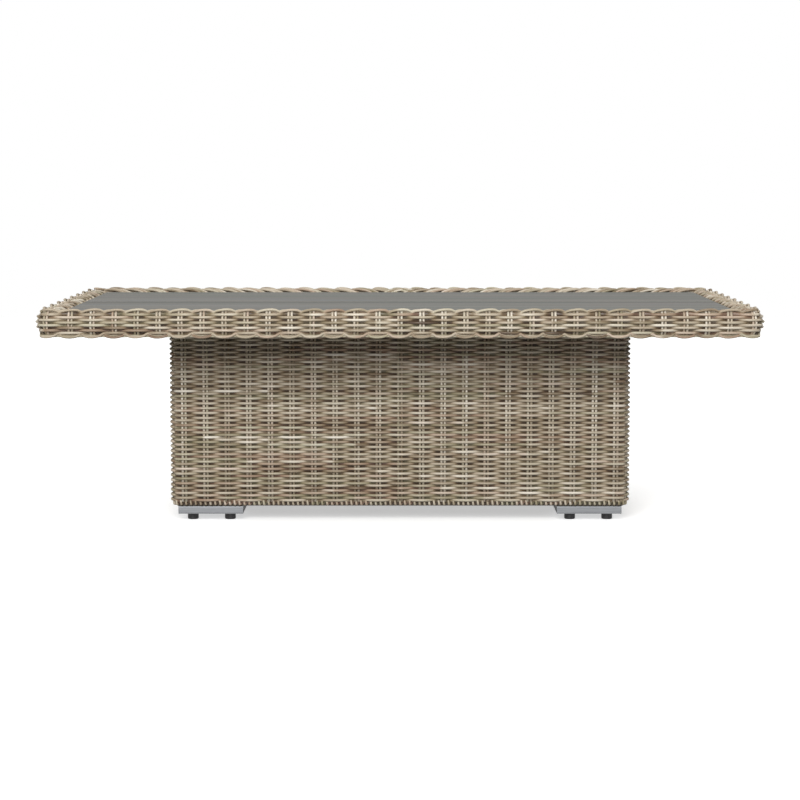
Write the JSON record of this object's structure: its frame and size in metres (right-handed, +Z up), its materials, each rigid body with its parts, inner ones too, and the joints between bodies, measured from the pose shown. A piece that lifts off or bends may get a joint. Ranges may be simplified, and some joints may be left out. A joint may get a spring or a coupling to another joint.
{
  "type": "wicker coffee table",
  "caption": "Low rectangular garden table with a woven box base on aluminium feet and screw-in glides, and a wide woven-rimmed top with wood-effect boards.",
  "frame": {"origin": "on the floor under the middle of the table, glides screwed right in", "axes": "+X along the table's length, to the right; +Y to the back; +Z up"},
  "size_m": [1.4, 0.8, 0.44],
  "materials": {
    "wicker": "satin",
    "wood_effect_board": "matte",
    "foot_aluminium": "satin",
    "coated_frame": "matte",
    "pad_plastic": "satin",
    "zinc_steel": "satin"
  },
  "bodies": {
    "table": {"foot_front_left": "foot_aluminium", "foot_front_right": "foot_aluminium", "foot_back_left": "foot_aluminium", "foot_back_right": "foot_aluminium", "foot_plugs": "pad_plastic", "foot_inserts": "zinc_steel", "post_front_left": "coated_frame", "post_front_right": "coated_frame", "post_back_left": "coated_frame", "post_back_right": "coated_frame", "stile_front": "coated_frame", "stile_back": "coated_frame", "lower_rail_front": "coated_frame", "lower_rail_back": "coated_frame", "lower_rail_left": "coated_frame", "lower_rail_right": "coated_frame", "upper_rail_front": "coated_frame", "upper_rail_back": "coated_frame", "upper_rail_left": "coated_frame", "upper_rail_right": "coated_frame", "base_weave_front": "wicker", "base_weave_back": "wicker", "base_weave_left": "wicker", "base_weave_right": "wicker", "base_edge_binding": "wicker", "top_rail_front": "coated_frame", "top_rail_back": "coated_frame", "top_rail_left": "coated_frame", "top_rail_right": "coated_frame", "bearer_1": "coated_frame", "bearer_2": "coated_frame", "bearer_3": "coated_frame", "bearer_4": "coated_frame", "bearer_5": "coated_frame", "rim_weave_front": "wicker", "rim_weave_right": "wicker", "rim_weave_back": "wicker", "rim_weave_left": "wicker", "border_braid": "wicker", "board_front": "wood_effect_board", "board_back": "wood_effect_board", "board_screws": "zinc_steel", "top_bolts": "zinc_steel", "top_inserts": "zinc_steel"},
    "glide_1": {"glide_pad_1": "pad_plastic", "glide_stud_1": "zinc_steel"},
    "glide_2": {"glide_pad_2": "pad_plastic", "glide_stud_2": "zinc_steel"},
    "glide_3": {"glide_pad_3": "pad_plastic", "glide_stud_3": "zinc_steel"},
    "glide_4": {"glide_pad_4": "pad_plastic", "glide_stud_4": "zinc_steel"},
    "glide_5": {"glide_pad_5": "pad_plastic", "glide_stud_5": "zinc_steel"},
    "glide_6": {"glide_pad_6": "pad_plastic", "glide_stud_6": "zinc_steel"},
    "glide_7": {"glide_pad_7": "pad_plastic", "glide_stud_7": "zinc_steel"},
    "glide_8": {"glide_pad_8": "pad_plastic", "glide_stud_8": "zinc_steel"}
  },
  "joints": [
    {"name": "glide_1_height", "type": "slide", "parent": "table", "child": "glide_1", "axis": [0, 0, -1], "range_m": [0, 0.008]},
    {"name": "glide_2_height", "type": "slide", "parent": "table", "child": "glide_2", "axis": [0, 0, -1], "range_m": [0, 0.008]},
    {"name": "glide_3_height", "type": "slide", "parent": "table", "child": "glide_3", "axis": [0, 0, -1], "range_m": [0, 0.008]},
    {"name": "glide_4_height", "type": "slide", "parent": "table", "child": "glide_4", "axis": [0, 0, -1], "range_m": [0, 0.008]},
    {"name": "glide_5_height", "type": "slide", "parent": "table", "child": "glide_5", "axis": [0, 0, -1], "range_m": [0, 0.008]},
    {"name": "glide_6_height", "type": "slide", "parent": "table", "child": "glide_6", "axis": [0, 0, -1], "range_m": [0, 0.008]},
    {"name": "glide_7_height", "type": "slide", "parent": "table", "child": "glide_7", "axis": [0, 0, -1], "range_m": [0, 0.008]},
    {"name": "glide_8_height", "type": "slide", "parent": "table", "child": "glide_8", "axis": [0, 0, -1], "range_m": [0, 0.008]}
  ]
}
